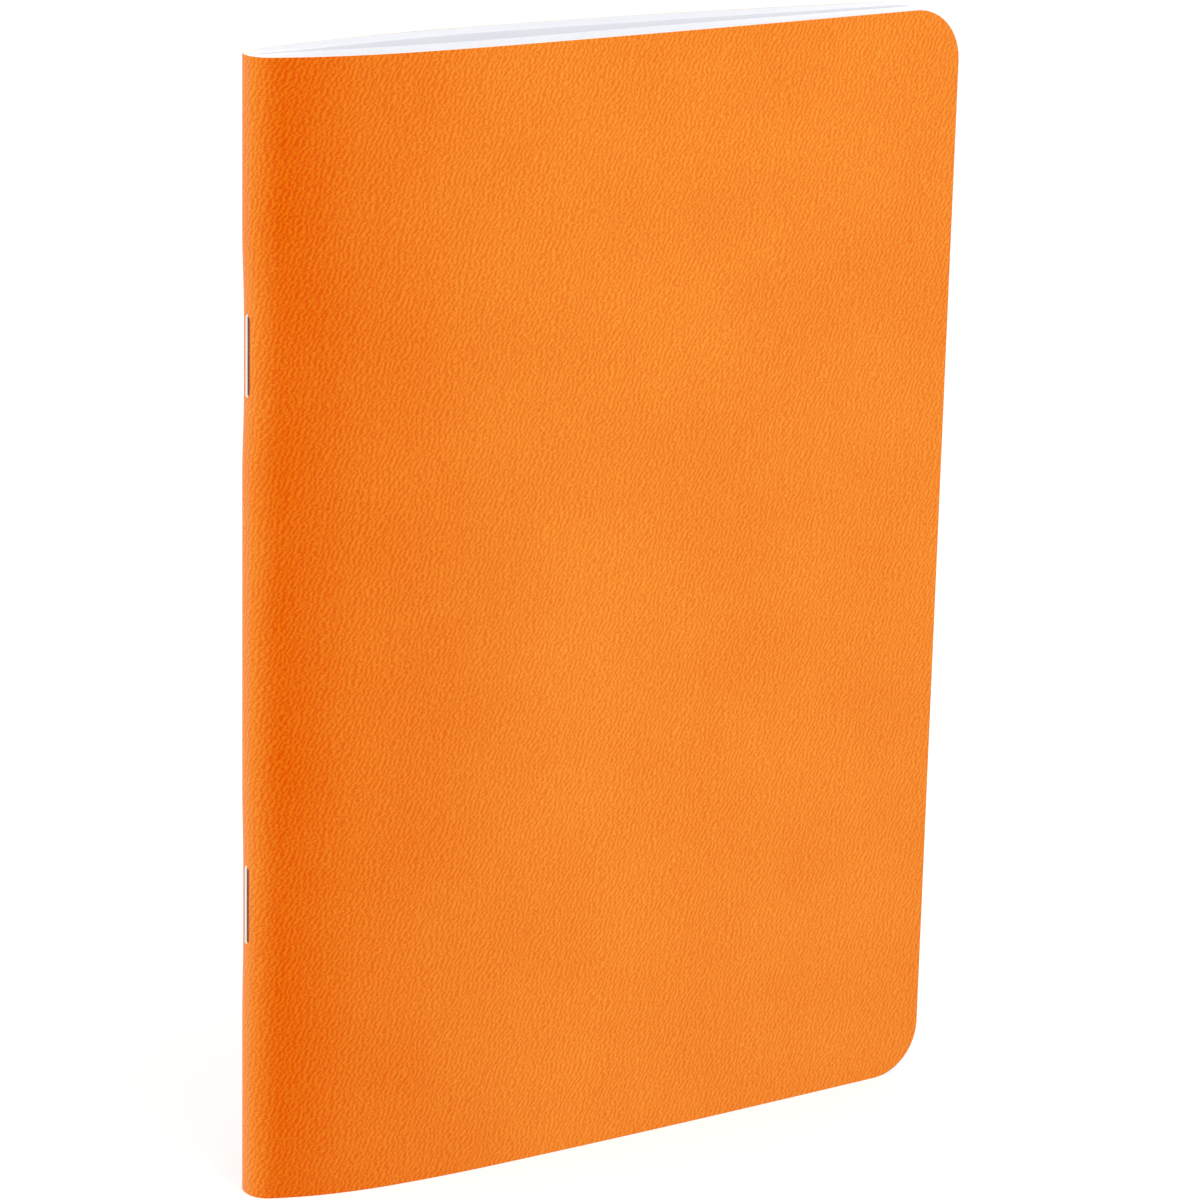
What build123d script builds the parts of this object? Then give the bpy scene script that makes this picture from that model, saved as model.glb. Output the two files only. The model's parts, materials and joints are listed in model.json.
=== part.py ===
"""Stapled A5 exercise book, standing upright and a little swollen, as a new one does.

The book is folded sheets laid inside one another in a card cover, and two wire staples
through the spine. X runs from the spine to the fore-edge, Z is up the page, and the
front cover faces -Y. The origin is under the middle of the book, at its lower edges.
Each sheet and the cover bend at the spine, so each is a fold strip that stays with the
staples and two flat wings that turn about the outer corner of the strip's end.
"""

import os
from math import asin, atan2, cos, degrees, hypot, radians, sin, tan

from build123d import *

os.makedirs("parts", exist_ok=True)

# Trimmed size of the book: the width is measured along the cover from the spine
BOOK_HEIGHT = 210.0
BOOK_WIDTH = 148.0
CORNER_RADIUS = 10.0

# Cover board and paper, and the air that the spine keeps between two folds
COVER_THICKNESS = 0.4
PAPER_THICKNESS = 0.11
FOLD_AIR = 0.01
SHEET_COUNT = 18

# Round of the spine: half its width where the cover starts to turn, and half of the
# flat that the staples press into it
SPINE_HALF_WIDTH = 4.45
SPINE_HALF_FLAT = 0.4
COVER_TO_PAGES = 0.08

# Middle sheet: the inside radius of its fold, and the place and half width of the
# trough where its two leaves start to turn
MIDDLE_FOLD_RADIUS = 0.13
GUTTER_DEPTH = 9.5
GUTTER_HALF_WIDTH = 0.7

# Plan of the covers, and of the outer and the middle leaves. Places are shares of the
# book's width, and headings are degrees away from the book's middle plane, at the hinge
# and at each place
COVER_PLACE_SHARES = (0.095, 0.176, 0.318, 0.473, 0.655, 0.811)
COVER_HEADINGS = {
    "front": (22.0, 10.8, 3.2, -1.5, -2.1, -3.0, -3.4),
    "back": (22.0, 11.2, 7.2, 1.6, -1.0, -5.0, -6.6),
}
LEAF_PLACE_SHARES = (0.176, 0.38, 0.655)
OUTER_LEAF_HEADINGS = {"front": (20.0, 2.4, -2.0, -3.2), "back": (19.6, 5.0, 1.6, -6.0)}
MIDDLE_LEAF_HEADINGS = {"front": (8.0, 3.8, -2.5, -0.9), "back": (8.4, 7.5, -1.4, -2.6)}
SIDES = {"front": -1, "back": 1}

# Staples: wire, crown pressed into the spine, legs through the folds, arms clinched inside
WIRE_DIAMETER = 0.55
CROWN_LENGTH = 15.4
CROWN_PRESS = 0.2
ARM_LENGTH = 5.8
WIRE_BEND = 0.36
ARM_AIR = 0.1
HOLE_AIR = 0.04
TOP_STAPLE_DROP = 52.7
LOW_STAPLE_RISE = 56.0
WIRE_SIDES = 6

# How far a cut runs past what it cuts
OVERRUN = 5.0


def arc_end(start, place, heading):
    """Where an arc from start, a point and its heading, meets a place along X."""
    x, y, before = start
    return place, y + (place - x) * tan(radians((before + heading) / 2)), heading


def arc_length(start, end):
    """Length of the arc between two points whose headings are known."""
    chord = hypot(end[0] - start[0], end[1] - start[1])
    half_turn = radians(end[2] - start[2]) / 2
    return chord * half_turn / sin(half_turn) if half_turn else chord


def wing_nodes(hinge, place_shares, headings, end_place):
    """Points and headings of a wing's outer face, from its hinge to past a place."""
    nodes = [(*hinge, headings[0])]
    for share, heading in zip(place_shares, headings[1:]):
        nodes.append(arc_end(nodes[-1], share * BOOK_WIDTH, heading))
    nodes.append(arc_end(nodes[-1], end_place, headings[-1]))
    return nodes


def between(first, last, share):
    """Values a share of the way from the first tuple to the last."""
    return tuple(a + (b - a) * share for a, b in zip(first, last))


# The cover's bend at the spine, and the line about which the cover turns
spine_heading = COVER_HEADINGS["front"][0]
spine_radius = (SPINE_HALF_WIDTH - SPINE_HALF_FLAT) / cos(radians(spine_heading))
cover_hinge = (spine_radius * (1 - sin(radians(spine_heading))), SPINE_HALF_WIDTH)


def cover_nodes(side, end_place):
    """Points and headings of a cover board's outer face."""
    return wing_nodes(cover_hinge, COVER_PLACE_SHARES, COVER_HEADINGS[side], end_place)


# The fore-edge is where the flat width of the front cover ends
flat_nodes = cover_nodes("front", BOOK_WIDTH)[:-1]
used_width = SPINE_HALF_FLAT + spine_radius * radians(90 - spine_heading)
used_width += sum(arc_length(a, b) for a, b in zip(flat_nodes, flat_nodes[1:]))
last_heading = radians(COVER_HEADINGS["front"][-1])
fore_edge = flat_nodes[-1][0] + (BOOK_WIDTH - used_width) * cos(last_heading)

# The middle of the book's box, which starts at the crowns that stand proud of the spine
bulges = {
    side: max(y for _, y, _ in cover_nodes(side, fore_edge))
    for side in SIDES
}
crown_place = CROWN_PRESS - WIRE_DIAMETER / 2
middle_x = (fore_edge + crown_place - WIRE_DIAMETER / 2) / 2
middle_y = (bulges["back"] - bulges["front"]) / 2
plan_plane = Plane((-middle_x, -middle_y, 0))
face_plane = Plane((-middle_x, -middle_y, 0), x_dir=(1, 0, 0), z_dir=(0, -1, 0))
spine_plane = Plane((-middle_x, -middle_y, 0), x_dir=(0, 1, 0), z_dir=(1, 0, 0))

# The first leaf's hinge clears the turning cover, and the others follow to the gutter
fold_pitch = PAPER_THICKNESS + FOLD_AIR
step = COVER_THICKNESS + COVER_TO_PAGES
turn = radians(spine_heading)
first_hinge = (
    cover_hinge[0] + step * (cos(turn) + sin(turn)),
    cover_hinge[1] - step * (cos(turn) - sin(turn)),
)
middle_hinge = (GUTTER_DEPTH, GUTTER_HALF_WIDTH)


def sheet_share(number):
    """How far in a sheet lies, from 0 for the outer one to 1 for the middle one."""
    return (number - 1) / (SHEET_COUNT - 1)


def leaf_hinge(number):
    """Outer corner of the fold strip's end, where this sheet's leaf turns."""
    return between(first_hinge, middle_hinge, sheet_share(number))


def leaf_nodes(number, side, end_place):
    """Points and headings of a leaf's outer face: headings change evenly from the outer
    leaf's to the middle leaf's."""
    outer, middle = OUTER_LEAF_HEADINGS[side], MIDDLE_LEAF_HEADINGS[side]
    headings = between(outer, middle, sheet_share(number))
    return wing_nodes(leaf_hinge(number), LEAF_PLACE_SHARES, headings, end_place)


def fold_apex(number):
    """Place of the back of this sheet's fold, inside the cover's spine."""
    return COVER_THICKNESS + (number - 1) * fold_pitch


def fold_radius(number):
    """Outer radius of a sheet's fold: a sheet more than the next one in, and looser
    the further out, until the outer sheet's fold runs straight into its leaves."""
    start = radians(OUTER_LEAF_HEADINGS["front"][0])
    reach = first_hinge[0] - fold_apex(1)
    rise = first_hinge[1] - SPINE_HALF_FLAT
    outer = (cos(start) * rise - sin(start) * reach) / (1 - sin(start))
    middle = MIDDLE_FOLD_RADIUS + PAPER_THICKNESS
    tight = middle + (SHEET_COUNT - number) * fold_pitch
    loose = outer - middle - (SHEET_COUNT - 1) * fold_pitch
    return tight + loose * (1 - sheet_share(number)) ** 2


def draw_wing(nodes, thickness, side):
    """Plan of a wing: its outer face as tangent arcs, and its inner face inside it."""
    outer = [(x, side * y) for x, y, _ in nodes]
    inner = [
        (x + thickness * sin(radians(h)), side * (y - thickness * cos(radians(h))))
        for x, y, h in nodes
    ]
    headings = [h for _, _, h in nodes]
    with BuildSketch(plan_plane) as plan:
        with BuildLine():
            for line in (outer, inner):
                for start, end, before, after in zip(line, line[1:], headings, headings[1:]):
                    if before == after:
                        Line(start, end)
                    else:
                        heading = radians(before)
                        TangentArc(start, end, tangent=(cos(heading), side * sin(heading)))
            Line(outer[0], inner[0])
            Line(outer[-1], inner[-1])
        make_face()
    return plan.sketch


def draw_fold(apex, radius, hinge, thickness):
    """Plan of a fold strip: a flat under the staples, two bends and two short legs,
    which leave the bends at a tangent and end at the hinges."""
    reach = hinge[0] - apex - radius
    rise = hinge[1] - SPINE_HALF_FLAT
    ratio = min(radius / hypot(reach, rise), 1)
    heading = atan2(rise, reach) - asin(ratio)
    with BuildSketch(plan_plane) as plan:
        with BuildLine():
            for inset in (0, thickness):
                bend = radius - inset
                flat = (apex + inset, SPINE_HALF_FLAT)
                centre = (apex + radius, SPINE_HALF_FLAT)
                leg = (centre[0] - bend * sin(heading), centre[1] + bend * cos(heading))
                end = (hinge[0] + inset * sin(heading), hinge[1] - inset * cos(heading))
                Line(flat, (flat[0], -flat[1]))
                for side in SIDES.values():
                    TangentArc(
                        (flat[0], side * flat[1]), (leg[0], side * leg[1]), tangent=(0, side)
                    )
                    if hypot(end[0] - leg[0], end[1] - leg[1]) > FOLD_AIR:
                        Line((leg[0], side * leg[1]), (end[0], side * end[1]))
            for side in SIDES.values():
                corner = (end[0] - thickness * sin(heading), end[1] + thickness * cos(heading))
                Line((corner[0], side * corner[1]), (end[0], side * end[1]))
        make_face()
    return plan.sketch


# The outline that the knives leave: square at the spine, rounded at the fore-edge
with BuildSketch(face_plane) as trim:
    with Locations((-OVERRUN, 0)):
        Rectangle(fore_edge + OVERRUN, BOOK_HEIGHT, align=(Align.MIN, Align.MIN))
    fillet(trim.vertices().group_by(Axis.X)[-1], CORNER_RADIUS)
trim_reach = max(bulges.values()) + OVERRUN

# Heights of the staples' crowns and of their legs
staple_heights = (BOOK_HEIGHT - TOP_STAPLE_DROP, LOW_STAPLE_RISE)
leg_spread = (CROWN_LENGTH - WIRE_DIAMETER) / 2
leg_heights = [h + way * leg_spread for h in staple_heights for way in (-1, 1)]
hole_radius = WIRE_DIAMETER / 2 + HOLE_AIR

# Spine of the cover, with the holes that the staples' legs pass and, between each two
# holes, the groove that the crown is pressed into
with BuildPart() as cover_spine:
    extrude(draw_fold(0, spine_radius, cover_hinge, COVER_THICKNESS), amount=BOOK_HEIGHT)
    with BuildSketch(spine_plane):
        with Locations(*[(0, height) for height in leg_heights]):
            RegularPolygon(hole_radius, WIRE_SIDES, major_radius=False)
    extrude(amount=cover_hinge[0], mode=Mode.SUBTRACT)
    with BuildSketch(spine_plane):
        with Locations(*[(0, height) for height in staple_heights]):
            Rectangle(2 * hole_radius, 2 * (leg_spread + hole_radius))
    extrude(amount=CROWN_PRESS + HOLE_AIR, mode=Mode.SUBTRACT)
cover_spine.part.label = "cover_spine"
export_step(cover_spine.part, "parts/cover_spine.step")

# The two cover boards
for side, way in SIDES.items():
    board = draw_wing(cover_nodes(side, fore_edge + OVERRUN), COVER_THICKNESS, way)
    with BuildPart() as cover:
        extrude(board, amount=BOOK_HEIGHT)
        extrude(trim.sketch, amount=trim_reach, both=True, mode=Mode.INTERSECT)
    cover.part.label = f"{side}_cover"
    export_step(cover.part, f"parts/{side}_cover.step")

# The folds of the sheets, nested in the spine, each pierced by the staples' four legs
with BuildPart() as sheet_folds:
    for number in range(1, SHEET_COUNT + 1):
        fold = draw_fold(
            fold_apex(number), fold_radius(number), leaf_hinge(number), PAPER_THICKNESS
        )
        extrude(fold, amount=BOOK_HEIGHT)
    with BuildSketch(spine_plane):
        with Locations(*[(0, height) for height in leg_heights]):
            Rectangle(2 * hole_radius, 2 * hole_radius)
    extrude(amount=GUTTER_DEPTH, mode=Mode.SUBTRACT)
sheet_folds.part.label = "sheet_folds"
export_step(sheet_folds.part, "parts/sheet_folds.step")

# The leaves: every sheet has one before the middle plane and one behind it
for side, way in SIDES.items():
    for number in range(1, SHEET_COUNT + 1):
        page = draw_wing(leaf_nodes(number, side, fore_edge + OVERRUN), PAPER_THICKNESS, way)
        with BuildPart() as leaf:
            extrude(page, amount=BOOK_HEIGHT)
            extrude(trim.sketch, amount=trim_reach, both=True, mode=Mode.INTERSECT)
        leaf.part.label = f"sheet_{number:02d}_{side}_leaf"
        export_step(leaf.part, f"parts/{leaf.part.label}.step")

# The two staples, each one wire: arm, leg, crown, leg and arm
arm_place = fold_apex(SHEET_COUNT) + PAPER_THICKNESS + ARM_AIR + WIRE_DIAMETER / 2
tip_spread = leg_spread - ARM_LENGTH
with BuildPart() as staples:
    for height in staple_heights:
        with BuildLine(face_plane) as wire:
            FilletPolyline(
                (arm_place, height + tip_spread),
                (arm_place, height + leg_spread),
                (crown_place, height + leg_spread),
                (crown_place, height - leg_spread),
                (arm_place, height - leg_spread),
                (arm_place, height - tip_spread),
                radius=WIRE_BEND,
            )
        with BuildSketch(Plane(wire.line @ 0, x_dir=(1, 0, 0), z_dir=wire.line % 0)):
            RegularPolygon(WIRE_DIAMETER / 2, WIRE_SIDES)
        sweep()
staples.part.label = "staples"
export_step(staples.part, "parts/staples.step")

# The places of the hinges, in the part's own frame
print(f"fore-edge {fore_edge:.3f}, box middle {middle_x:.3f}, {middle_y:.3f}")
for side, way in SIDES.items():
    places = {"cover": cover_hinge}
    places |= {f"leaf {n:02d}": leaf_hinge(n) for n in range(1, SHEET_COUNT + 1)}
    for name, (x, y) in places.items():
        print(f"hinge {side} {name} {x - middle_x:.4f} {way * y - middle_y:.4f}")
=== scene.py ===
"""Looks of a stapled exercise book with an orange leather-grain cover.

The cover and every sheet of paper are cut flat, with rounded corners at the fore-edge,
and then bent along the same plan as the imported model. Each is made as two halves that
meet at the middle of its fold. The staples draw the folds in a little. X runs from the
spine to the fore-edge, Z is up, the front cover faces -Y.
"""

import json
from math import asin, atan2, cos, hypot, radians, sin, tan, tau

import bmesh
import bpy
from mathutils import Matrix, Vector


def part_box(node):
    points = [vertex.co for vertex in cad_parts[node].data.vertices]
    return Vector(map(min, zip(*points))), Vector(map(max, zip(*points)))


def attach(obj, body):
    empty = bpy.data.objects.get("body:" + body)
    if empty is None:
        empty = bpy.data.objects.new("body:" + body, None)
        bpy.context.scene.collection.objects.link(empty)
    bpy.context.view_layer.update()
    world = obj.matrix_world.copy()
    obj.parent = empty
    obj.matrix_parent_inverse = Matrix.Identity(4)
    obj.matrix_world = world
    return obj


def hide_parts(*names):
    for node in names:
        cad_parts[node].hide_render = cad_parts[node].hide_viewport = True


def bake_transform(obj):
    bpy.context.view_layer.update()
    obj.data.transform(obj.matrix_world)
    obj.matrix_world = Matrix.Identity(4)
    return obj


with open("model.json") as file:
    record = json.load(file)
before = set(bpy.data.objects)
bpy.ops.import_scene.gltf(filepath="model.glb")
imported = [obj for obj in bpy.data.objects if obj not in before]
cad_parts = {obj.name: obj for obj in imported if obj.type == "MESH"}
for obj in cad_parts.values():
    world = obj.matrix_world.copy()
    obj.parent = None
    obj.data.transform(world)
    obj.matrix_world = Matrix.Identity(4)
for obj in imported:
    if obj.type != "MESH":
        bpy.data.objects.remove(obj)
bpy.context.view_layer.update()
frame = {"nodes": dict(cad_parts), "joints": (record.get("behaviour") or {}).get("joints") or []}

MM = 0.001
QUARTER_TURN = radians(90)

# Sizes of the cover, the paper and the wire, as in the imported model
COVER_THICKNESS = 0.4 * MM
PAPER_THICKNESS = 0.11 * MM
FOLD_AIR = 0.01 * MM
BOOK_WIDTH = 148 * MM
CORNER_RADIUS = 10 * MM
SPINE_HALF_FLAT = 0.4 * MM
MIDDLE_FOLD_RADIUS = 0.13 * MM
WIRE_DIAMETER = 0.55 * MM
CROWN_LENGTH = 15.4 * MM
ARM_LENGTH = 5.8 * MM

# Plan of the boards and leaves: shares of the book's width, headings in degrees away
# from the middle plane at the hinge and at each place, and the way of each side along Y
COVER_PLACE_SHARES = (0.095, 0.176, 0.318, 0.473, 0.655, 0.811)
COVER_HEADINGS = {
    "front": (22.0, 10.8, 3.2, -1.5, -2.1, -3.0, -3.4),
    "back": (22.0, 11.2, 7.2, 1.6, -1.0, -5.0, -6.6),
}
LEAF_PLACE_SHARES = (0.176, 0.38, 0.655)
OUTER_LEAF_HEADINGS = {"front": (20.0, 2.4, -2.0, -3.2), "back": (19.6, 5.0, 1.6, -6.0)}
MIDDLE_LEAF_HEADINGS = {"front": (8.0, 3.8, -2.5, -0.9), "back": (8.4, 7.5, -1.4, -2.6)}
SIDES = {"front": -1, "back": 1}

# How finely a sheet is cut before it is bent, and how near two places count as one
STEP = 3.5 * MM
TURN_STEP = radians(4)
CORNER_SEGMENTS = 12
SAME_PLACE = 0.001 * MM
PLACE_DIGITS = 7

# Places of a sheet's three materials, and the angle past which an edge stays sharp
OUTER_FACE, CUT_EDGE, INNER_FACE = range(3)
SHARP_ANGLE = radians(40)

# How far along a sheet, before and after its hinge, an opening book would bend,
# and how many extra cuts the part after the hinge has
BEND_BEFORE = 0.9 * MM
BEND_AFTER = 3 * MM
BEND_CUTS = 6

# How the staples draw the spine in: how deep at each, how far beyond its crown the folds
# give way, in how many steps, and how far from the spine's back the draw starts to fade
# and ends
DRAW_DEPTHS = {"upper_staple": 0.33 * MM, "lower_staple": 0.2 * MM}
DRAW_REACH = 14 * MM
DRAW_STEPS = 6
DRAW_FADE = (3 * MM, 10 * MM)

# Staples: radii of the bends at the crown and at the arms, and how fine the wire is made
CROWN_BEND = 0.6 * MM
ARM_BEND = 0.36 * MM
WIRE_SIDES = 16
BEND_STEPS = 8

# Grain of the card, in millimetres on the flat sheet: the spacing of its creases, how far
# they stray, and over what width and height they do it
CREASE_SPACING = 1.06
SWAY, SWAY_SPAN = 2.6, (6.0, 6.0)
WAVER, WAVER_SPAN = 1.6, (1.5, 0.8)

# Layers of creases: how far each leans, the level of its noise and its share of the
# grain, whose rest are pebbles, and the ranges that are stretched to go from 0 to 1
CREASE_LAYERS = ((0.65, 0.0, 0.42), (0.15, 9.0, 0.34))
PEBBLE_SHARE = 0.24
NOISE_RANGE = (0.3, 0.7)
GRAIN_RANGE = (0.17, 0.83)

# Painted shade round the fold, a deeper orange, in millimetres from the middle of the
# spine: where it begins and is full, where it starts to fade, and where its quick and slow
# parts end, the share of the quick part, and the share of soft clouds all over the card
FOLD_SHADE_FROM, FOLD_SHADE_FULL = 0.5, 7.5
FADE_FROM, QUICK_FADE_END, SLOW_FADE_END = 6.0, 24.0, 72.0
QUICK_FADE_SHARE = 0.35
CLOUD_SHARE = 0.15

# Painted shadow along each crown, in millimetres: how far from the middle of the spine it
# starts to fade and ends, and how far inside the crown's ends
CROWN_SHADOW_SIDE = (0.75, 1.05)
CROWN_SHADOW_ENDS = (1.0, 0.5)

# Ruling of the paper, in millimetres: spacing, how far from a line's middle its ink starts
# to fade and ends, its strength, the margins at foot and head and how softly it stops there
RULE_SPACING = 8.0
RULE_SOFTNESS = (0.06, 0.20)
RULE_STRENGTH = 0.8
FOOT_MARGIN = 11.0
HEAD_MARGIN = 21.0
MARGIN_SOFTNESS = 0.2

# Camera: turned and tipped as in the photo, aimed at a point on the front cover
VIEW_TURN = radians(29.384)
VIEW_DIP = radians(16.458)
VIEW_ROLL = radians(0.903)
VIEW_DISTANCE = 858.59 * MM
VIEW_TARGET = Vector((59.70, 6.40, 105)) * MM
VIEW_OFFSET = (-5.507 * MM, -6.942 * MM)
VIEW_LENS = 139.788
VIEW_SHIFT = (0.0905, 0.0267)

# The hinges and the edges of the book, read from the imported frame
hinges = {joint["child"]: Vector(joint["pos_m"]) for joint in frame["joints"]}
bottom, top = (corner.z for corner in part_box("front_cover"))
fore_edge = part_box("front_cover")[1].x
spine_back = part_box("cover_spine")[0].x
middle_y = sum(corner.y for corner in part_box("cover_spine")) / 2
sheet_count = sum("front_leaf" in name for name in frame["nodes"])
wires_low, wires_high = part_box("staples")
staple_middles = {
    "upper_staple": wires_high.z - CROWN_LENGTH / 2,
    "lower_staple": wires_low.z + CROWN_LENGTH / 2,
}


class Signal:
    """A socket that can stand in sums, each of which adds its Math node."""

    def __init__(self, finish, socket):
        self.finish, self.socket = finish, socket

    def math(self, operation, *values):
        inputs = dict(enumerate(values))
        return self.finish.node("ShaderNodeMath", {"operation": operation}, inputs)

    def __add__(self, other):
        return self.math("ADD", self, other)

    def __sub__(self, other):
        return self.math("SUBTRACT", self, other)

    def __rsub__(self, other):
        return self.math("SUBTRACT", other, self)

    def __mul__(self, other):
        return self.math("MULTIPLY", self, other)

    def __truediv__(self, other):
        return self.math("DIVIDE", self, other)

    __radd__ = __add__
    __rmul__ = __mul__

    def __abs__(self):
        return self.math("ABSOLUTE", self)

    def __mod__(self, other):
        return self.math("FLOORED_MODULO", self, other)

    def wave(self):
        """1 at whole numbers, 0 half way between them and smooth in between."""
        return 0.5 + 0.5 * self.math("COSINE", self * tau)

    def between(self, low, high):
        """0 below low, 1 above high and smooth in between."""
        settings = {"interpolation_type": "SMOOTHSTEP"}
        inputs = {"Value": self, "From Min": low, "From Max": high}
        return self.finish.node("ShaderNodeMapRange", settings, inputs)


class Finish:
    """A material under way, with a principled shader and what feeds it."""

    def __init__(self, name, **fixed):
        self.material = bpy.data.materials.new(name)
        self.material.use_nodes = True
        self.tree = self.material.node_tree
        self.shader = self.tree.nodes["Principled BSDF"]
        self.set(**fixed)

    def node(self, kind, settings, inputs, output=0):
        """Adds a node, sets it up, feeds its sockets and gives one of its outputs."""
        node = self.tree.nodes.new(kind)
        for name, value in settings.items():
            setattr(node, name, value)
        for name, value in inputs.items():
            self.feed(node.inputs[name], value)
        return Signal(self, node.outputs[output])

    def feed(self, socket, value):
        """Links a signal to a socket, or sets the socket to a value."""
        if isinstance(value, Signal):
            self.tree.links.new(value.socket, socket)
        else:
            socket.default_value = value

    def set(self, **sockets):
        """Feeds sockets of the shader itself."""
        for name, value in sockets.items():
            self.feed(self.shader.inputs[name.replace("_", " ")], value)

    def flat_place(self):
        """Place on the flat sheet in millimetres, whatever the sheet's bend."""
        flat = self.node("ShaderNodeUVMap", {"uv_map": "flat"}, {})
        return self.scaled(flat, 1 / MM)

    def object_place(self):
        """Place on the object in millimetres."""
        place = self.node("ShaderNodeTexCoord", {}, {}, "Object")
        return self.scaled(place, 1 / MM)

    def scaled(self, vector, factor):
        """A vector times a number."""
        inputs = {0: vector, "Scale": factor}
        return self.node("ShaderNodeVectorMath", {"operation": "SCALE"}, inputs)

    def parts(self, vector):
        """The three numbers of a vector."""
        split = self.node("ShaderNodeSeparateXYZ", {}, {"Vector": vector})
        outputs = split.socket.node.outputs
        return [Signal(self, outputs[axis]) for axis in range(3)]

    def whole(self, x, y, z):
        """A vector of three numbers."""
        return self.node("ShaderNodeCombineXYZ", {}, {"X": x, "Y": y, "Z": z})

    def noise(self, place, scale, detail, roughness=0.5):
        """Soft random blotches of 0 to 1, scale of them to one unit of the place."""
        inputs = {"Vector": place, "Scale": scale, "Detail": detail, "Roughness": roughness}
        return self.node("ShaderNodeTexNoise", {}, inputs)

    def blend_colours(self, share, first, second):
        """The first colour at 0 and the second at 1."""
        inputs = {0: share, 6: first, 7: second}
        return self.node("ShaderNodeMix", {"data_type": "RGBA"}, inputs, 2)

    def relief(self, height, distance):
        """A normal from a height of 0 to 1 over a distance in metres."""
        return self.node("ShaderNodeBump", {}, {"Height": height, "Distance": distance})


def creases(card, x, z, lean, level):
    """Upright waves over a card that lean, sway widely and waver finely."""
    sway_place = card.whole(x / SWAY_SPAN[0], z / SWAY_SPAN[1], level)
    waver_place = card.whole(x / WAVER_SPAN[0], z / WAVER_SPAN[1], level)
    sway = card.noise(sway_place, scale=1.0, detail=1.0)
    waver = card.noise(waver_place, scale=1.0, detail=1.0)
    return ((x - lean * z + SWAY * sway + WAVER * waver) / CREASE_SPACING).wave()


def leather_grain(card, place, x, z):
    """Height of the embossing, from 0 in the creases to 1 on the ridges."""
    pebbles = card.noise(place, scale=2.2, detail=1.0).between(*NOISE_RANGE)
    grain = PEBBLE_SHARE * pebbles
    for lean, level, share in CREASE_LAYERS:
        grain = grain + share * creases(card, x, z, lean, level)
    return grain.between(*GRAIN_RANGE)


def fold_shade_and_cloud(card, place, from_fold):
    """Painted shade round the fold, mixed with soft random clouds: 0 where the card is plain
    orange and 1 where it is deepest.
    """
    quick = QUICK_FADE_SHARE * from_fold.between(FADE_FROM, QUICK_FADE_END)
    slow = (1 - QUICK_FADE_SHARE) * from_fold.between(FADE_FROM, SLOW_FADE_END)
    # Painted shade: deeper orange round the fold, fading out quickly and then slowly towards the
    # fore-edge
    folded = from_fold.between(FOLD_SHADE_FROM, FOLD_SHADE_FULL) * (1 - quick - slow)
    cloud = card.noise(place, scale=0.035, detail=3.0).between(*NOISE_RANGE)
    return (1 - CLOUD_SHARE) * folded + CLOUD_SHARE * cloud


def painted_crown_shadows(from_fold, z):
    """1 where a dark shadow is painted on the card along each crown, and 0 elsewhere."""
    half_crown = CROWN_LENGTH / 2 / MM
    full, gone = (half_crown - inside for inside in CROWN_SHADOW_ENDS)
    beside = 0
    for middle in staple_middles.values():
        beside = (1 - abs(z - middle / MM).between(full, gone)) + beside
    return (1 - from_fold.between(*CROWN_SHADOW_SIDE)) * beside


def leather_grain_card():
    """Orange card, embossed with a fine grain of short winding creases that lean, with shade
    painted deeper round the fold and shadows painted along the crowns.
    """
    card = Finish(
        "leather_grain_card", Roughness=0.42, Specular_IOR_Level=0.22,
        Specular_Tint=(1.0, 0.85, 0.05, 1),
    )
    place = card.flat_place()
    x, z, _ = card.parts(place)
    from_fold = abs(x)
    grain = leather_grain(card, place, x, z)
    shade_and_cloud = fold_shade_and_cloud(card, place, from_fold)
    # The second colour of each blend is the deeper orange of the painted shade round the fold
    ridge = card.blend_colours(shade_and_cloud, (0.832, 0.266, 0.030, 1), (0.715, 0.138, 0.001, 1))
    valley = card.blend_colours(shade_and_cloud, (0.741, 0.164, 0.015, 1), (0.646, 0.058, 0.0, 1))
    orange = card.blend_colours(grain, valley, ridge)
    # Painted shadow along each staple's crown, dark red-brown
    shaded = (0.20, 0.042, 0.016, 1)
    colour = card.blend_colours(painted_crown_shadows(from_fold, z), orange, shaded)
    card.set(Base_Color=colour, Normal=card.relief(grain, 0.03 * MM))
    return card.material


def card_core():
    """The pale board that shows where the cover is cut."""
    core = Finish("card_core", Roughness=0.85)
    fibres = core.noise(core.object_place(), scale=4.0, detail=3.0)
    core.set(Base_Color=core.blend_colours(fibres, (0.84, 0.69, 0.52, 1), (0.93, 0.83, 0.70, 1)))
    return core.material


def card_inside():
    """The uncoated inner face of the cover."""
    inside = Finish("card_inside", Roughness=0.8)
    fibres = inside.noise(inside.flat_place(), scale=2.2, detail=4.0, roughness=0.6)
    colour = inside.blend_colours(fibres, (0.86, 0.83, 0.78, 1), (0.92, 0.90, 0.86, 1))
    inside.set(Base_Color=colour, Normal=inside.relief(fibres, 0.01 * MM))
    return inside.material


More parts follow.
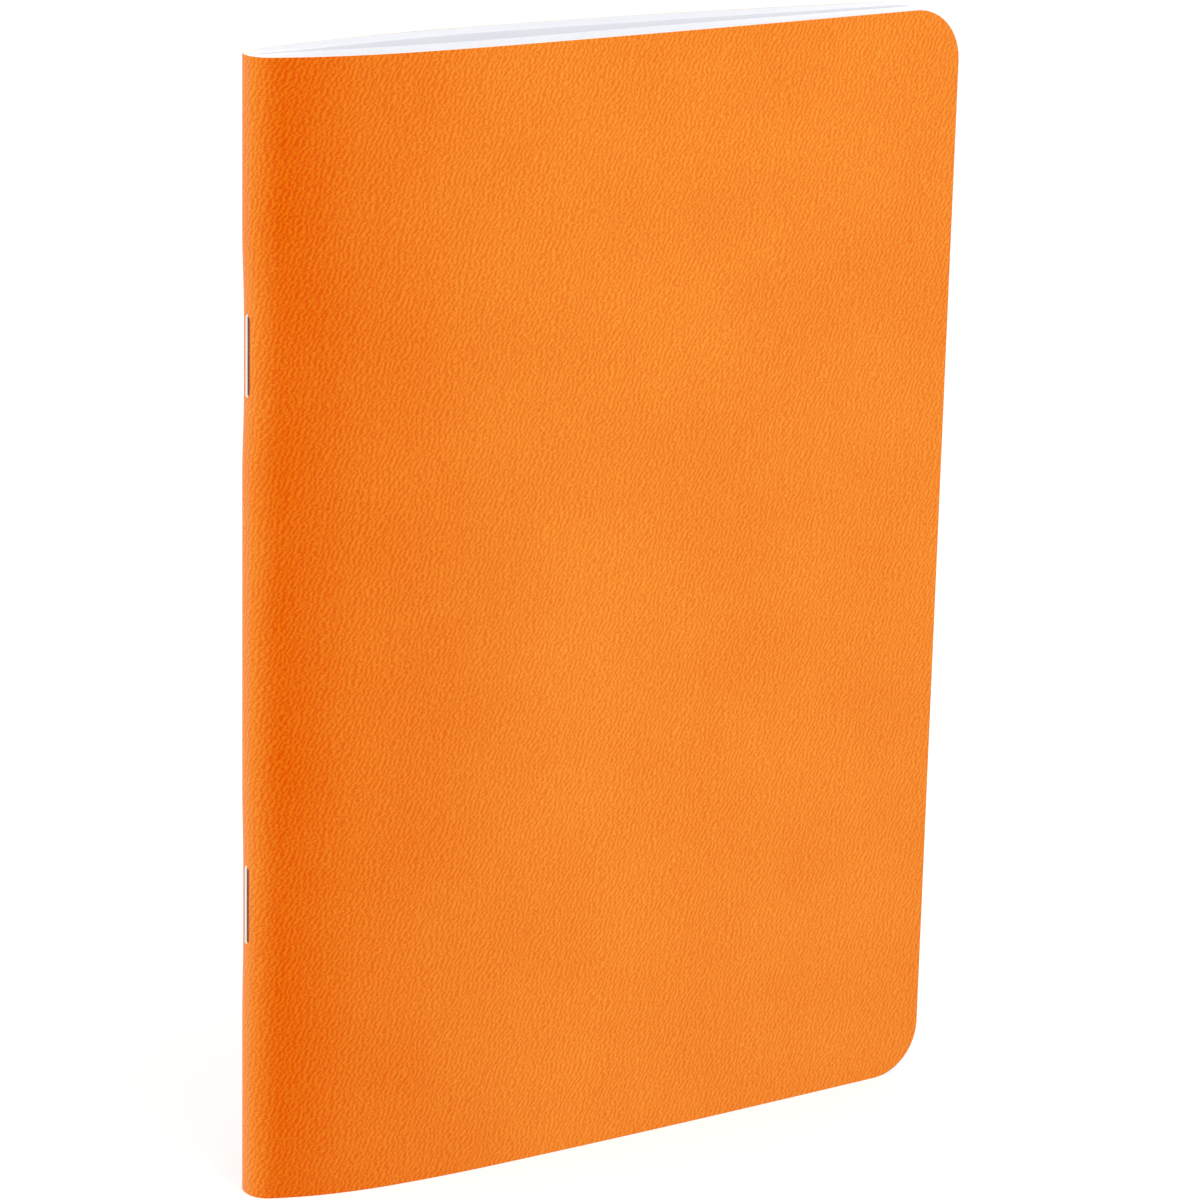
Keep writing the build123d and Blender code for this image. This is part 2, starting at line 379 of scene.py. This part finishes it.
def ruled_paper():
    """White writing paper with faint ruled lines that stop short of head and foot."""
    paper = Finish("ruled_paper", Roughness=0.82)
    place = paper.flat_place()
    _, z, _ = paper.parts(place)
    fibres = paper.noise(place, scale=1.6, detail=4.0, roughness=0.6)
    white = paper.blend_colours(fibres, (0.86, 0.87, 0.915, 1), (0.90, 0.91, 0.95, 1))
    off_line = abs((z + RULE_SPACING / 2) % RULE_SPACING - RULE_SPACING / 2)
    line = 1 - off_line.between(*RULE_SOFTNESS)
    first, last = bottom / MM + FOOT_MARGIN, top / MM - HEAD_MARGIN
    above_foot = z.between(first, first + MARGIN_SOFTNESS)
    below_head = 1 - z.between(last - MARGIN_SOFTNESS, last)
    ruled = line * (above_foot * below_head) * RULE_STRENGTH
    colour = paper.blend_colours(ruled, white, (0.34, 0.45, 0.66, 1))
    paper.set(Base_Color=colour, Normal=paper.relief(fibres, 0.006 * MM))
    return paper.material


def cut_paper():
    """The cut edges of the sheets."""
    edge = Finish("cut_paper", Roughness=0.9)
    fibres = edge.noise(edge.object_place(), scale=3.0, detail=3.0)
    edge.set(Base_Color=edge.blend_colours(fibres, (0.97, 0.97, 0.985, 1), (0.995, 0.995, 1.0, 1)))
    return edge.material


def bright_wire():
    """Galvanised stitching wire, with fine drawn marks along its crown and arms."""
    wire = Finish("bright_wire", Metallic=1.0)
    x, y, z = wire.parts(wire.object_place())
    across, along = 14.0, 0.8
    drawn = wire.noise(wire.whole(x * across, y * across, z * along), scale=1.0, detail=3.0)
    colour = wire.blend_colours(drawn, (0.64, 0.65, 0.63, 1), (0.82, 0.83, 0.81, 1))
    wire.set(Base_Color=colour, Roughness=0.22 + 0.16 * drawn)
    wire.set(Normal=wire.relief(drawn, 0.004 * MM))
    return wire.material


def pale_floor():
    """The plain floor under the book, partly luminous so that it shows pure white."""
    floor = Finish(
        "pale_floor", Roughness=0.9, Emission_Color=(1, 1, 1, 1), Emission_Strength=0.56,
    )
    mottle = floor.noise(floor.object_place(), scale=0.02, detail=2.0)
    floor.set(Base_Color=floor.blend_colours(mottle, (0.49, 0.49, 0.49, 1), (0.51, 0.51, 0.51, 1)))
    return floor.material


class Bend:
    """A sheet's line in plan, made of straight runs and arcs from the fold's middle."""

    def __init__(self, x):
        self.runs = []
        self.length = self.hinge = 0
        self.end = (x, 0.0, QUARTER_TURN)

    def add(self, length, heading):
        """Goes on for a length while the heading changes evenly."""
        x, y, before = self.end
        self.runs.append((self.length, length, x, y, before, heading))
        self.length += length
        half = (heading - before) / 2
        chord = length * sin(half) / half if half else length
        mean = (heading + before) / 2
        self.end = (x + chord * cos(mean), y + chord * sin(mean), heading)

    def turn_to(self, x, y, heading):
        """Goes to a point on an arc, or straight, and leaves it at a heading."""
        half = (heading - self.end[2]) / 2
        chord = hypot(x - self.end[0], y - self.end[1])
        self.add(chord * half / sin(half) if half else chord, heading)

    def wing(self, shares, headings, edge):
        """Adds a board or leaf to a line that has reached its hinge."""
        self.hinge = self.length
        self.end = (*self.end[:2], radians(headings[0]))
        for share, heading in zip(shares, headings[1:]):
            x, y, before = self.end
            place = spine_back + share * BOOK_WIDTH
            rise = (place - x) * tan((before + radians(heading)) / 2)
            self.turn_to(place, y + rise, radians(heading))
        last = self.end[2]
        self.add((edge - self.end[0]) / cos(last), last)

    def at(self, distance):
        """Place in plan at a distance along the sheet."""
        reached = [run for run in self.runs if run[0] <= distance]
        start, length, x, y, before, after = reached[-1] if reached else self.runs[0]
        share = (distance - start) / length
        half = (after - before) * share / 2
        chord = length * share * (sin(half) / half if half else 1)
        return x + chord * cos(before + half), y + chord * sin(before + half)

    def cuts(self):
        """Distances at which the flat sheet is cut so that it bends smoothly."""
        places = set()
        for start, length, _, _, before, after in self.runs:
            steps = max(int(length / STEP), int(abs(after - before) / TURN_STEP)) + 1
            places |= {start + length * n / steps for n in range(steps + 1)}
        places |= {self.hinge + BEND_AFTER * n / BEND_CUTS for n in range(1, BEND_CUTS + 1)}
        return sorted(places)[1:-1]


def cover_line(side):
    """The outer face of half the cover, from the middle of the spine."""
    hinge = hinges[f"{side}_cover"]
    bend = Bend(spine_back)
    bend.add(SPINE_HALF_FLAT, QUARTER_TURN)
    bend.turn_to(hinge.x, abs(hinge.y - middle_y), radians(COVER_HEADINGS[side][0]))
    bend.wing(COVER_PLACE_SHARES, COVER_HEADINGS[side], fore_edge)
    return bend


def sheet_share(number):
    """How far in a sheet lies, from 0 for the outer one to 1 for the middle one."""
    return (number - 1) / (sheet_count - 1)


def fold_radius(number):
    """Outer radius of a sheet's fold, which is looser the further out it is."""
    pitch = PAPER_THICKNESS + FOLD_AIR
    first = hinges["sheet_01_front_leaf"]
    start = radians(OUTER_LEAF_HEADINGS["front"][0])
    reach = first.x - spine_back - COVER_THICKNESS
    rise = abs(first.y - middle_y) - SPINE_HALF_FLAT
    outer = (cos(start) * rise - sin(start) * reach) / (1 - sin(start))
    middle = MIDDLE_FOLD_RADIUS + PAPER_THICKNESS
    tight = middle + (sheet_count - number) * pitch
    loose = outer - middle - (sheet_count - 1) * pitch
    return tight + loose * (1 - sheet_share(number)) ** 2


def sheet_line(number, side):
    """The outer face of half a sheet, from the middle of its fold."""
    hinge = hinges[f"sheet_{number:02d}_{side}_leaf"]
    hinge_x, hinge_y = hinge.x, abs(hinge.y - middle_y)
    apex = spine_back + COVER_THICKNESS + (number - 1) * (PAPER_THICKNESS + FOLD_AIR)
    radius = fold_radius(number)
    reach, rise = hinge_x - apex - radius, hinge_y - SPINE_HALF_FLAT
    leg = atan2(rise, reach) - asin(min(radius / hypot(reach, rise), 1))
    share = sheet_share(number)
    outer, middle = OUTER_LEAF_HEADINGS[side], MIDDLE_LEAF_HEADINGS[side]
    headings = [first + (last - first) * share for first, last in zip(outer, middle)]
    bend = Bend(apex)
    bend.add(SPINE_HALF_FLAT, QUARTER_TURN)
    bend.add(radius * (QUARTER_TURN - leg), leg)
    run = hypot(hinge_x - bend.end[0], hinge_y - bend.end[1])
    if run > FOLD_AIR:
        bend.add(run, leg)
    bend.wing(LEAF_PLACE_SHARES, headings, fore_edge)
    return bend


def eased(value, low, high):
    """0 below low, 1 above high and smooth in between."""
    share = min(max((value - low) / (high - low), 0), 1)
    return share * share * (3 - 2 * share)


def drawn_in(x, z):
    """Where a place along X ends up when the staples draw the spine in."""
    half_crown = CROWN_LENGTH / 2
    draw = 0
    for name, depth in DRAW_DEPTHS.items():
        off_middle = abs(z - staple_middles[name])
        draw += depth * (1 - eased(off_middle, half_crown, half_crown + DRAW_REACH))
    return x + draw * (1 - eased(x - spine_back, *DRAW_FADE))


def draw_levels():
    """Heights at which a fold is cut so that it can follow the draw of the staples."""
    reaches = [CROWN_LENGTH / 2 + DRAW_REACH * n / DRAW_STEPS for n in range(DRAW_STEPS + 1)]
    levels = []
    for middle in staple_middles.values():
        levels += [middle + reach for reach in reaches] + [middle - reach for reach in reaches]
    return sorted(levels)


def flat_half(bend):
    """A unit square, stretched to a half sheet and rounded at the fore-edge's corners."""
    sheet = bmesh.new()
    bmesh.ops.create_grid(sheet, x_segments=1, y_segments=1, size=0.5)
    place = Matrix.Translation((bend.length / 2, 0, (bottom + top) / 2))
    turn = Matrix.Rotation(QUARTER_TURN, 4, "X")
    size = Matrix.Diagonal((bend.length, top - bottom, 1, 1))
    bmesh.ops.transform(sheet, matrix=place @ turn @ size, verts=sheet.verts)
    corners = [vert for vert in sheet.verts if vert.co.x > bend.length / 2]
    bmesh.ops.bevel(
        sheet, geom=corners, offset=CORNER_RADIUS, segments=CORNER_SEGMENTS,
        profile=0.5, affect="VERTICES", material=-1,
    )
    return sheet


def all_parts(sheet):
    """The points, edges and faces of a sheet."""
    return sheet.verts[:] + sheet.edges[:] + sheet.faces[:]


def is_before(part, border):
    """Whether a point, edge or face of a flat sheet lies between its fold and a border."""
    points = [part] if isinstance(part, bmesh.types.BMVert) else part.verts
    return all(point.co.x < border + SAME_PLACE for point in points)


def cut_at(sheet, parts, place, direction):
    """Cuts parts of a flat sheet along a plane."""
    bmesh.ops.bisect_plane(
        sheet, geom=parts, plane_co=place, plane_no=direction, dist=SAME_PLACE,
    )


def cut_sheet(bend):
    """A flat half sheet, cut upright where it bends and level where its fold is drawn in."""
    sheet = flat_half(bend)
    rounding = {round(vert.co.x, PLACE_DIGITS) for vert in sheet.verts}
    places = [x for x in bend.cuts() if x < bend.length - CORNER_RADIUS - STEP / 2]
    places += sorted(x for x in rounding if STEP < x < bend.length - SAME_PLACE)
    border = min(x for x in places if x > bend.hinge + DRAW_FADE[1])
    cut_at(sheet, all_parts(sheet), (border, 0, 0), (1, 0, 0))
    for level in draw_levels():
        folded = [part for part in all_parts(sheet) if is_before(part, border)]
        cut_at(sheet, folded, (0, 0, level), (0, 0, 1))
    for x in places:
        cut_at(sheet, all_parts(sheet), (x, 0, 0), (1, 0, 0))
    return sheet


def rearmost(skin):
    """The place along X of the point of some faces that lies nearest the spine's back."""
    return min(vert.co.x for face in skin for vert in face.verts)


def thicken(sheet, thickness):
    """Gives a bent sheet its thickness and marks its outer, cut and inner faces."""
    old = set(sheet.faces)
    made = bmesh.ops.solidify(sheet, geom=sheet.faces[:], thickness=thickness)
    new = {part for part in made["geom"] if isinstance(part, bmesh.types.BMFace)}
    outer, inner = sorted((old, new), key=rearmost)
    for face in sheet.faces:
        face.material_index = CUT_EDGE
    for face in outer:
        face.material_index = OUTER_FACE
    for face in inner:
        face.material_index = INNER_FACE


def bent_half(name, bend, side, thickness, finishes):
    """Half a sheet, bent along its line, with its thickness inside that line."""
    way = SIDES[side]
    sheet = cut_sheet(bend)
    flat = sheet.loops.layers.uv.new("flat")
    for face in sheet.faces:
        for loop in face.loops:
            loop[flat].uv = (-way * loop.vert.co.x, loop.vert.co.z)
    for vert in sheet.verts:
        x, y = bend.at(vert.co.x)
        vert.co = (drawn_in(x, vert.co.z), middle_y + way * y, vert.co.z)
    sheet.normal_update()
    farthest = max(sheet.faces, key=lambda face: face.calc_center_median().x)
    if farthest.normal.y * way < 0:
        bmesh.ops.reverse_faces(sheet, faces=sheet.faces[:])
    thicken(sheet, thickness)
    return shown_piece(name, sheet, finishes)


def shown_piece(name, shape, finishes):
    """Makes an object of a finished shape, smooth but for its sharp edges."""
    for face in shape.faces:
        face.smooth = True
    for edge in shape.edges:
        edge.smooth = edge.calc_face_angle(0) < SHARP_ANGLE
    mesh = bpy.data.meshes.new(name)
    shape.to_mesh(mesh)
    shape.free()
    for finish in finishes:
        mesh.materials.append(finish)
    piece = bpy.data.objects.new(name, mesh)
    bpy.context.scene.collection.objects.link(piece)
    return piece


def open_with(piece, bend, side):
    """Bakes a half's transform; the line read before and after its hinge is not put to use."""
    for distance in (bend.hinge - BEND_BEFORE, bend.hinge + BEND_AFTER):
        x, y = bend.at(distance)
        middle_y + SIDES[side] * y
    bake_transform(piece)


def make_cover():
    """Both halves of the cover."""
    finishes = (leather_grain_card(), card_core(), card_inside())
    for side in SIDES:
        bend = cover_line(side)
        half = bent_half(f"cover_{side}_half", bend, side, COVER_THICKNESS, finishes)
        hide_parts("cover_spine", f"{side}_cover")
        open_with(half, bend, side)


def make_sheets():
    """Both halves of every sheet of paper."""
    paper, edge = ruled_paper(), cut_paper()
    for number in range(1, sheet_count + 1):
        for side in SIDES:
            bend = sheet_line(number, side)
            body = f"sheet_{number:02d}_{side}_leaf"
            name = f"sheet_{number:02d}_{side}_half"
            half = bent_half(name, bend, side, PAPER_THICKNESS, (paper, edge, paper))
            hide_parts("sheet_folds", body)
            open_with(half, bend, side)


def wire_run(wire, ring, move):
    """Draws the wire's end ring straight along a move and gives the new ring."""
    made = bmesh.ops.extrude_edge_only(wire, edges=ring)["geom"]
    verts = [part for part in made if isinstance(part, bmesh.types.BMVert)]
    bmesh.ops.translate(wire, verts=verts, vec=move)
    return [part for part in made if isinstance(part, bmesh.types.BMEdge)
            and all(vert in verts for vert in part.verts)]


def wire_bend(wire, ring, centre):
    """Turns the wire's end ring a quarter about a line along Y and gives the new ring."""
    made = bmesh.ops.spin(
        wire, geom=ring, cent=centre, axis=(0, 1, 0), angle=-QUARTER_TURN, steps=BEND_STEPS,
    )["geom_last"]
    return [part for part in made if isinstance(part, bmesh.types.BMEdge)]


def bent_wire(name):
    """A staple's wire, bent from its upper arm by way of the crown to its lower arm."""
    middle, draw = staple_middles[name], DRAW_DEPTHS[name]
    crown_x = wires_low.x + WIRE_DIAMETER / 2 + draw
    arm_x = wires_high.x - WIRE_DIAMETER / 2 + draw
    leg_rise = (CROWN_LENGTH - WIRE_DIAMETER) / 2
    arm_turn, arm_turn_rise = arm_x - ARM_BEND, leg_rise - ARM_BEND
    crown_turn, crown_turn_rise = crown_x + CROWN_BEND, leg_rise - CROWN_BEND
    arm = Vector((0, 0, ARM_LENGTH - ARM_BEND))
    leg = Vector((arm_turn - crown_turn, 0, 0))
    crown = Vector((0, 0, -2 * crown_turn_rise))
    runs_and_turns = (
        (arm, arm_turn, middle + arm_turn_rise),
        (-leg, crown_turn, middle + crown_turn_rise),
        (crown, crown_turn, middle - crown_turn_rise),
        (leg, arm_turn, middle - arm_turn_rise),
    )
    wire = bmesh.new()
    tip = Matrix.Translation((arm_x, middle_y, middle + leg_rise - ARM_LENGTH))
    bmesh.ops.create_circle(
        wire, cap_ends=False, segments=WIRE_SIDES, radius=WIRE_DIAMETER / 2, matrix=tip,
    )
    ring = wire.edges[:]
    for run, turn_x, turn_z in runs_and_turns:
        ring = wire_run(wire, ring, run)
        ring = wire_bend(wire, ring, (turn_x, middle_y, turn_z))
    wire_run(wire, ring, arm)
    bmesh.ops.remove_doubles(wire, verts=wire.verts, dist=SAME_PLACE)
    bmesh.ops.holes_fill(wire, edges=wire.edges, sides=WIRE_SIDES)
    bmesh.ops.recalc_face_normals(wire, faces=wire.faces)
    return wire


def make_staples():
    """The two staples, each one round wire with a crown, two legs and two arms."""
    finish = bright_wire()
    for name in staple_middles:
        piece = shown_piece(name, bent_wire(name), [finish])
        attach(piece, "spine")
        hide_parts("staples")


def make_floor():
    """A wide plain floor."""
    half_width = 6.0
    shape = bmesh.new()
    bmesh.ops.create_grid(shape, x_segments=1, y_segments=1, size=half_width)
    piece = shown_piece("floor", shape, [pale_floor()])


def make_camera():
    """The camera, from the turn, dip and roll that the cover's outline gives."""
    ahead = Vector((
        sin(VIEW_TURN) * cos(VIEW_DIP), cos(VIEW_TURN) * cos(VIEW_DIP), -sin(VIEW_DIP),
    ))
    level = Vector((cos(VIEW_TURN), -sin(VIEW_TURN), 0))
    upward = level.cross(ahead)
    right = level * cos(VIEW_ROLL) + upward * sin(VIEW_ROLL)
    up = upward * cos(VIEW_ROLL) - level * sin(VIEW_ROLL)
    target = VIEW_TARGET + Vector((spine_back, middle_y, 0))
    place = target - ahead * VIEW_DISTANCE + right * VIEW_OFFSET[0] + up * VIEW_OFFSET[1]
    lens = bpy.data.cameras.new("camera")
    lens.lens = VIEW_LENS
    lens.shift_x, lens.shift_y = VIEW_SHIFT
    camera = bpy.data.objects.new("camera", lens)
    camera.matrix_world = Matrix((
        (right.x, up.x, -ahead.x, place.x),
        (right.y, up.y, -ahead.y, place.y),
        (right.z, up.z, -ahead.z, place.z),
        (0, 0, 0, 1),
    ))
    bpy.context.scene.collection.objects.link(camera)
    bpy.context.scene.camera = camera


def softbox(name, place, size, power):
    """A square soft light that faces the middle of the book."""
    light = bpy.data.lights.new(name, "AREA")
    light.size = size
    light.energy = power
    lamp = bpy.data.objects.new(name, light)
    lamp.location = place
    aim = Vector((0, 0, (bottom + top) / 2)) - Vector(place)
    lamp.rotation_euler = aim.to_track_quat("-Z", "Y").to_euler()
    bpy.context.scene.collection.objects.link(lamp)


def make_light():
    """White surroundings, with one soft light high in front and one beyond the spine."""
    world = bpy.data.worlds.new("studio")
    world.use_nodes = True
    background = world.node_tree.nodes["Background"]
    background.inputs["Color"].default_value = (1, 1, 1, 1)
    background.inputs["Strength"].default_value = 0.92
    bpy.context.scene.world = world
    softbox("key_softbox", place=(0.10, -0.40, 0.90), size=0.5, power=2.7)
    softbox("spine_softbox", place=(-1.2, 0.1, 0.5), size=0.6, power=2.5)
    bpy.context.scene.view_settings.view_transform = "Standard"


make_cover()
make_sheets()
make_staples()
make_floor()
make_camera()
make_light()
